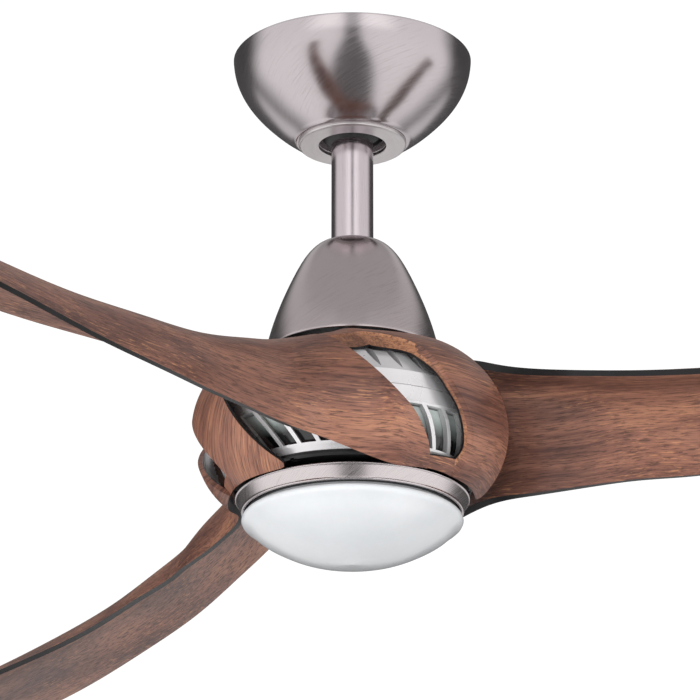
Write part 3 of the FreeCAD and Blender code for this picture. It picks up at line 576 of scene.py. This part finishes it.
# Outlines as (degrees round the wrap, side from -1 at the lower edge to 1 at the upper).
STRAP_EDGE = [(3.0, 1.0), (5.0, 0.711), (7.7, 0.585), (11.2, 0.451), (18.0, 0.118), (27.4, -0.162),
              (48.5, -0.397), (59.7, -0.657), (65.4, -0.859), (67.8, -1.0)]
EYE_SIDE = [(15.6, 0.240), (30.0, 0.236), (41.5, 0.228), (51.0, 0.226), (56.5, 0.198), (60.6, 0.098),
            (64.4, -0.020), (68.4, -0.194), (72.2, -0.349), (75.3, -0.503), (78.4, -0.656),
            (79.9, -0.768), (79.9, -0.850)]
EYE_FLOOR = [(79.9, -0.850), (67.0, -0.890)]
RIDGE = [(11.2, 0.451), (21.7, 0.448), (38.0, 0.410), (52.8, 0.376), (58.4, 0.276), (62.8, 0.138),
         (66.3, -0.040), (70.4, -0.205), (74.1, -0.355), (77.3, -0.505), (81.5, -0.731), (83.2, -1.0)]
END_CORNER = 0.1             # share of the free end's length that its lower corner rounds off

AROUND = 84                  # points along the ridge, the eye and the free end
ACROSS = 25                  # points from the ridge to the free end
BORDER_STEPS = np.array([0.0, 0.2, 0.4, 0.6, 0.76, 0.9, 1.0])    # from the eye to the ridge
BORDER_SUNK = np.append(1 - 0.7 * BORDER_STEPS[:-1] / 0.9, 0.0)[None, :]    # share of BAND_DEPTH
GRAIN, PAINT, PAINTED_LIT, PAINTED_REFLECTION = range(4)    # a blade's materials, in the order of its slots
EDGE_ROUND = 0.6


def station_splines():
    """Smooth lower edge, upper edge and half angle, all on one length parameter."""
    def place(point):
        angle = math.radians(point[1])
        return point[0] * math.cos(angle), point[0] * math.sin(angle), point[2]
    low = np.array([place(s[0]) for s in STATIONS])
    high = np.array([place(s[1]) for s in STATIONS])
    middle = np.linalg.norm(np.diff(low + high, axis=0), axis=1) / 2
    knots = np.concatenate([[0], np.cumsum(middle + np.linalg.norm(np.diff(low, axis=0), axis=1) / 2)])
    return knots, natural_spline(knots, low), natural_spline(knots, high), natural_spline(
        knots, [s[2] for s in STATIONS])


KNOTS, LOW_EDGE, HIGH_EDGE, HALF_ANGLE = station_splines()


def sheet(t, side):
    """Points of the sheet's outer face in millimetres, and how far across it they are."""
    low, high = LOW_EDGE(t), HIGH_EDGE(t)
    bend = np.radians(HALF_ANGLE(t))
    half = np.linalg.norm(high - low, axis=-1, keepdims=True) / 2
    chord = (high - low) / (2 * half)
    out = unit(np.cross(chord, unit(LOW_EDGE(t, True)) + unit(HIGH_EDGE(t, True))))
    side = side[..., None]
    rise = half * (np.cos(bend * side) - np.cos(bend)) / np.sin(bend)
    points = (low + high) / 2 + chord * half * np.sin(bend * side) / np.sin(bend) + out * rise
    return points, (side * half * bend / np.sin(bend))[..., 0]


def outward(t, side):
    """Unit normals of the sheet's outer face."""
    along = sheet(t + 0.3, side)[0] - sheet(t - 0.3, side)[0]
    across = sheet(t, side + 0.004)[0] - sheet(t, side - 0.004)[0]
    return unit(np.cross(across, along))


def wrap_t(degrees):
    """Length parameter at an angle round the wrap."""
    return KNOTS[1] * (FIRST_ANGLE - degrees) / WRAP_STEP


class Skin:
    """Patches of the sheet, kept as shared vertices (t, side, depth, wall) and four-cornered faces."""

    def __init__(self):
        self.vertices, self.faces, self.marks, self.known = [], [], [], {}
        self.creases, self.inner_marks = set(), []

    def patch(self, t, side, depth, wall, mark=0, inner=0):
        """Add a grid of vertices, sharing those that are already there."""
        mark, inner = np.broadcast_to(mark, t.shape), np.broadcast_to(inner, t.shape)
        rows, columns = t.shape
        ids = np.empty((rows, columns), int)
        for place in np.ndindex(rows, columns):
            key = (round(float(t[place]), 2), round(float(side[place]), 4))
            if key not in self.known:
                self.known[key] = len(self.vertices)
                self.vertices.append((t[place], side[place], depth[place], wall[place]))
            ids[place] = self.known[key]
        for i in range(rows - 1):
            for j in range(columns - 1):
                corners = [ids[i, j], ids[i + 1, j], ids[i + 1, j + 1], ids[i, j + 1]]
                if len(set(corners)) >= 3:
                    self.faces.append(list(dict.fromkeys(corners)))
                    self.marks.append(mark[i, j])
                    self.inner_marks.append(inner[i, j])
        return ids

    def crease(self, line):
        """Keep the edges along a line of vertices crisp."""
        self.creases.update(frozenset(pair) for pair in zip(line[:-1], line[1:]))

    def solid(self, rim_mark):
        """Points, faces, surface distances and materials of the thick sheet."""
        t, side, depth, wall = np.array(self.vertices).T
        face, across = sheet(t, side)
        normal = outward(t, side)
        outer, inner = face - normal * depth[:, None], face - normal * wall[:, None]
        count = len(outer)
        faces, marks, edges = [], [], {}
        for corners, mark, inner_mark in zip(self.faces, self.marks, self.inner_marks):
            a, b, c = outer[corners[0]], outer[corners[1]], outer[corners[-1]]
            if np.dot(np.cross(b - a, c - a), normal[corners[0]]) < 0:
                corners = corners[::-1]
            faces.append(corners)
            faces.append([count + k for k in reversed(corners)])
            marks += [mark, inner_mark]
            for k, here in enumerate(corners):
                edges[(here, corners[(k + 1) % len(corners)])] = True
        for a, b in edges:
            if (b, a) not in edges:
                faces.append([b, a, count + a, count + b])
                marks.append(rim_mark(self.vertices[a], self.vertices[b]))
        uv = np.stack([t, across], axis=1)
        return np.concatenate([outer, inner]), faces, np.concatenate([uv, uv]), marks


def strap_skin():
    """The long strap of the blade, from its slanted start on the motor to the rounded tip."""
    skin, columns, rows = Skin(), 44, 150
    edge = through(STRAP_EDGE, columns)
    edge[0], edge[-1] = STRAP_EDGE[0], STRAP_EDGE[-1]
    share = np.linspace(0, 1, rows)[:, None] ** 1.5
    tip_side = np.linspace(1, -1, columns)[None, :]
    side = edge[None, :, 1] + (tip_side - edge[None, :, 1]) * smoothstep(share * 3.0)
    start = wrap_t(edge[None, :, 0])
    end = KNOTS[-1] - TIP_INSET - TIP_ROUNDING * tip_side ** 4
    t = start + (end - start) * share
    wall = WALL - (WALL - SIDE_THIN) * np.abs(side) ** 10 * smoothstep(share * 6.0)
    wall = wall - START_THINNING * (1 - smoothstep(share * 40.0))
    # painted reflection: the strap's inner face near the root is coloured silver so that the motor
    # mirrors something bright there
    inside = np.where(t < PAINTED_REFLECTION_T, PAINTED_REFLECTION, GRAIN)
    skin.patch(t, side, np.zeros_like(t), wall, GRAIN, inside)
    return skin


def free_end():
    """Line from the strap round the root's free end, with its lower corner rounded off."""
    low = (END_ANGLE + END_SLANT, -1.0)
    high = (END_ANGLE - END_SLANT, 1.0)
    cut = (low[0] - (low[0] - high[0]) * END_CORNER / 2, -1.0 + END_CORNER)
    corner = [((1 - u) ** 2 * np.array(cut) + 2 * u * (1 - u) * np.array(low)
               + u * u * np.array((low[0] - 7.0, -1.0))) for u in np.linspace(0, 1, 9)]
    return evenly([STRAP_EDGE[0], high] + corner, AROUND)


def root_panel(skin, ridge):
    """Panel between the ridge and the free end; returns its places and its depth at the ridge."""
    rim = free_end()
    share = np.linspace(0, 1, ACROSS)
    panel = ridge[:, None, :] + (rim[:, None, :] - ridge[:, None, :]) * share[None, :, None]
    joint = through(STRAP_EDGE[:4], ACROSS)[::-1]
    fade = np.clip(1 - np.arange(AROUND) / 14.0, 0, 1)[:, None, None] ** 2
    panel += (joint - panel[0])[None] * fade
    panel[0, :, 0] -= TUCK
    near = np.clip(1 - np.arange(AROUND) / 9.0, 0, 1)[:, None]
    depth = STEP_DEPTH * smoothstep(near) * np.ones((1, ACROSS))
    free = smoothstep((share[None, :] - 0.7) / 0.3) * smoothstep(1 - near)
    wall = WALL - (WALL - FREE_THIN) * free
    ids = skin.patch(wrap_t(panel[..., 0]), panel[..., 1], depth, wall, GRAIN, PAINT)
    skin.crease(ids[:, 0])
    return panel, depth[:, :1]


def border_wall(depth):
    """Where the border's inner face lies: thin at the eye, the full sheet at the ridge."""
    share = smoothstep(BORDER_STEPS[None, :])
    return (BAND_DEPTH + THIN) * (1 - share) + WALL * share * np.ones_like(depth)


def eye_border(skin, ridge, panel, step):
    """Border that slopes from the ridge down to the eye; returns its places."""
    eye = through(EYE_SIDE, AROUND)
    band = eye[:, None, :] + (ridge[:, None, :] - eye[:, None, :]) * BORDER_STEPS[None, :, None]
    band[0, :, 0] -= TUCK
    band[0, -1] = panel[0, 0]
    depth = BAND_DEPTH * BORDER_SUNK + step * BORDER_STEPS[None, :] ** 2
    wall = np.maximum(border_wall(depth), depth + 1.0)
    # the border takes the lighter copy of the walnut, painted light, in its upper part and next to the
    # eye
    painted_lit_or_grain = np.where((band[..., 0] < PAINTED_LIT_TO) | (BORDER_STEPS[None, :] < 0.4), PAINTED_LIT, GRAIN)
    skin.patch(wrap_t(band[..., 0]), band[..., 1], depth, wall, painted_lit_or_grain, PAINT)
    return band


def eye_ledge(skin, band_end):
    """The border's last stretch under the eye, down to the sheet's lower edge."""
    rows = 22
    inner = evenly(EYE_FLOOR, rows)
    foot = evenly([RIDGE[-1], STRAP_EDGE[-1]], rows)
    ledge = inner[:, None, :] + (foot[:, None, :] - inner[:, None, :]) * BORDER_STEPS[None, :, None]
    ledge[0] = band_end
    ledge[-1, :, 0] -= TUCK
    drop = LEDGE_DEPTH * smoothstep(np.linspace(0, 1, rows) * 3.0)[:, None]
    depth = BAND_DEPTH * BORDER_SUNK + drop * (1 - BORDER_SUNK)
    skin.patch(wrap_t(ledge[..., 0]), ledge[..., 1], depth, border_wall(depth), GRAIN, PAINT)


def root_skin():
    """The root that the strap stands on, with the eye's border and the ledge under the eye."""
    skin = Skin()
    ridge = through(RIDGE, AROUND)
    panel, step = root_panel(skin, ridge)
    band = eye_border(skin, ridge, panel, step)
    eye_ledge(skin, band[-1])
    return skin


def strap_rim(first, second):
    """Material of the strap's rim between two vertices: painted along its two long edges."""
    return PAINT if abs(first[1]) == 1 and abs(second[1]) == 1 else GRAIN


def root_rim(first, second):
    """Material of the root's rim, painted all round."""
    return PAINT


def blades():
    """Three equal blades, a third of a turn apart."""
    strap, root = strap_skin(), root_skin()
    points, faces, uv, marks = strap.solid(strap_rim)
    more, more_faces, more_uv, more_marks = root.solid(root_rim)
    creases = {frozenset(len(points) + k for k in pair) for pair in root.creases}
    faces = faces + [[len(points) + k for k in face] for face in more_faces]
    points = np.concatenate([points, more])
    for n in range(BLADES):
        angle = TURN * n / BLADES
        turn = np.array([[math.cos(angle), math.sin(angle), 0], [-math.sin(angle), math.cos(angle), 0],
                         [0, 0, 1]])
        lean = GRAIN_LEAN[n]
        leaning = (more_uv @ np.array([[1.0, lean], [0.0, 1.0]])) / math.hypot(1.0, lean)
        leaning[:, 0] *= 1.0 + lean
        shifted = np.concatenate([uv, leaning]) + np.array([340.0, 90.0]) * n
        item = piece("blade_%d_sheet" % (n + 1), points @ turn, faces, "rotor",
                     [WALNUT, BLACK_EDGE, WALNUT_PAINTED_LIT, SLOT_FINISH["silver_casting"]],
                     ["blade_%d" % (n + 1)], shifted, marks + more_marks)
        for edge in item.data.edges:
            edge.use_edge_sharp = frozenset(edge.vertices) in creases
        soften_edges(item, EDGE_ROUND, 42.0)
        item.modifiers["round"].material = GRAIN


# ---------------------------------------------------------------- the frame's own nodes
def dress_nodes():
    """Give every CAD node its slot's finish."""
    for part in frame["record"]["subparts"]:
        node = frame["nodes"][part["node"]]
        node.data.materials.clear()
        node.data.materials.append(SLOT_FINISH[part["material_slot"]])


# ---------------------------------------------------------------- studio
FLOOR_Z = -4.6               # metres


def area_light(name, place, aim, width, height, power):
    """Soft box that the camera itself doesn't see."""
    data = bpy.data.lights.new(name, "AREA")
    data.shape = "RECTANGLE"
    data.size, data.size_y = width, height
    data.energy = power
    item = bpy.data.objects.new(name, data)
    bpy.context.scene.collection.objects.link(item)
    item.location = place
    direction = np.array(aim, float) - np.array(place, float)
    item.rotation_mode = "QUATERNION"
    item.rotation_quaternion = Vector(direction).to_track_quat("-Z", "Y")
    item.visible_camera = False
    item.visible_glossy = False


def surroundings(tree, path):
    """Brightness of the studio by direction: soft boxes at both sides and a dark middle."""
    def node(kind, values, **settings):
        made = tree.nodes.new("ShaderNode" + kind)
        for label, value in settings.items():
            setattr(made, label, value)
        for place, value in enumerate(values):
            if isinstance(value, bpy.types.NodeSocket):
                tree.links.new(value, made.inputs[place])
            else:
                made.inputs[place].default_value = value
        return made.outputs[0]

    def fade(value, low, high, to_low=0.0, to_high=1.0):
        return node("MapRange", (value, low, high, to_low, to_high), interpolation_type="SMOOTHSTEP")

    def times(first, second):
        return node("Math", (first, second), operation="MULTIPLY")

    def plus(first, second):
        return node("Math", (first, second), operation="ADD")

    split = tree.nodes.new("ShaderNodeSeparateXYZ")
    tree.links.new(tree.nodes.new("ShaderNodeTexCoord").outputs["Generated"], split.inputs[0])
    x, y, z = split.outputs
    across = node("Math", (x,), operation="ABSOLUTE")
    # the soft boxes at both sides, in front of the fan
    edge = fade(z, -0.85, -0.2, 0.30, 0.12)
    beside = fade(node("Math", (across, edge), operation="SUBTRACT"), -0.08, 0.09)
    ahead = fade(plus(y, fade(z, -0.3, 0.2, -0.25, 0.0)), -0.05, 0.45, 1.0, 0.0)
    boxes = times(times(beside, ahead), fade(z, 0.45, 0.65, 1.0, 0.0))
    # the bright wall behind and below
    behind = times(fade(y, 0.55, 0.75), fade(z, -0.25, -0.08, 1.0, 0.0))
    # overhead: two patches beside a dark middle, and one at the very top
    lenses = fade(across, 0.22, 0.34, 0.40, 0.54)
    top = fade(y, 0.1, 0.7, 0.42, 0.30)
    overhead = plus(times(lenses, fade(z, 0.70, 0.78, 1.0, 0.0)), times(top, fade(z, 0.70, 0.78)))
    above = times(fade(z, 0.5, 0.65), overhead)
    # the glow right in front, over a dim base
    facing = times(fade(y, -0.9, -0.65, 0.45, 0.0), fade(z, -0.1, 0.1))
    base = plus(fade(z, -0.5, 0.3, 0.17, 0.08), facing)
    pattern = plus(plus(times(boxes, 0.90), times(behind, 0.62)), plus(above, base))
    return times(pattern, fade(path.outputs["Is Diffuse Ray"], 0.0, 1.0, 1.0, 0.6))


def studio():
    """White surroundings, patterned reflections and soft boxes round the fan."""
    world = bpy.data.worlds.new("studio")
    bpy.context.scene.world = world
    world.use_nodes = True
    tree = world.node_tree
    tree.nodes.clear()
    output = tree.nodes.new("ShaderNodeOutputWorld")
    seen, lit = tree.nodes.new("ShaderNodeBackground"), tree.nodes.new("ShaderNodeBackground")
    seen.inputs[0].default_value = (1, 1, 1, 1)
    seen.inputs[1].default_value = 1.05
    lit.inputs[0].default_value = (1.0, 0.985, 0.985, 1)
    path, mix = tree.nodes.new("ShaderNodeLightPath"), tree.nodes.new("ShaderNodeMixShader")
    tree.links.new(surroundings(tree, path), lit.inputs[1])
    tree.links.new(path.outputs["Is Camera Ray"], mix.inputs[0])
    tree.links.new(lit.outputs[0], mix.inputs[1])
    tree.links.new(seen.outputs[0], mix.inputs[2])
    tree.links.new(mix.outputs[0], output.inputs[0])
    centre, under = (0, 0, -0.2), (0, 0.5, FLOOR_Z + 1.4)
    area_light("box_left", (-1.7, -1.2, -0.7), centre, 1.1, 1.5, 34)
    area_light("box_right", (1.6, -1.5, -0.5), centre, 1.2, 1.9, 26)
    area_light("box_low", (0.2, -1.6, -2.0), centre, 1.4, 0.9, 17)
    area_light("floor_light", under, (0, 0.5, FLOOR_Z), 9.0, 9.0, 105)


def floor():
    """Plain pale floor far below the fan."""
    finish = Finish("pale_floor", Roughness=0.7)
    cloud = finish.noise(finish.solid(), (2, 2, 2), 3.0)
    colour = finish.ramp(cloud, [(0.3, (0.87, 0.87, 0.87)), (0.7, (0.90, 0.90, 0.90))])
    half, z = 16.0, FLOOR_Z
    mesh = bpy.data.meshes.new("floor")
    mesh.from_pydata([(-half, -half, z), (half, -half, z), (half, half, z), (-half, half, z)], [],
                     [(0, 1, 2, 3)])
    mesh.materials.append(finish.finish(colour))
    item = bpy.data.objects.new("floor", mesh)
    bpy.context.scene.collection.objects.link(item)
    item.visible_glossy = False


def camera():
    """Long lens from below and in front, 20.5 degrees under the horizon."""
    data = bpy.data.cameras.new("camera")
    data.sensor_width = 36.0
    data.lens = 227.3
    data.clip_end = 60.0
    item = bpy.data.objects.new("camera", data)
    bpy.context.scene.collection.objects.link(item)
    item.location = (-0.0015, -2.6, -1.17)
    item.rotation_euler = (math.radians(110.5), 0, 0)
    bpy.context.scene.camera = item


dress_nodes()
canopy()
trim_ring()
rod()
bell()
light_ring()
glass()
blades()
studio()
floor()
camera()
bpy.context.scene.view_settings.view_transform = "Standard"
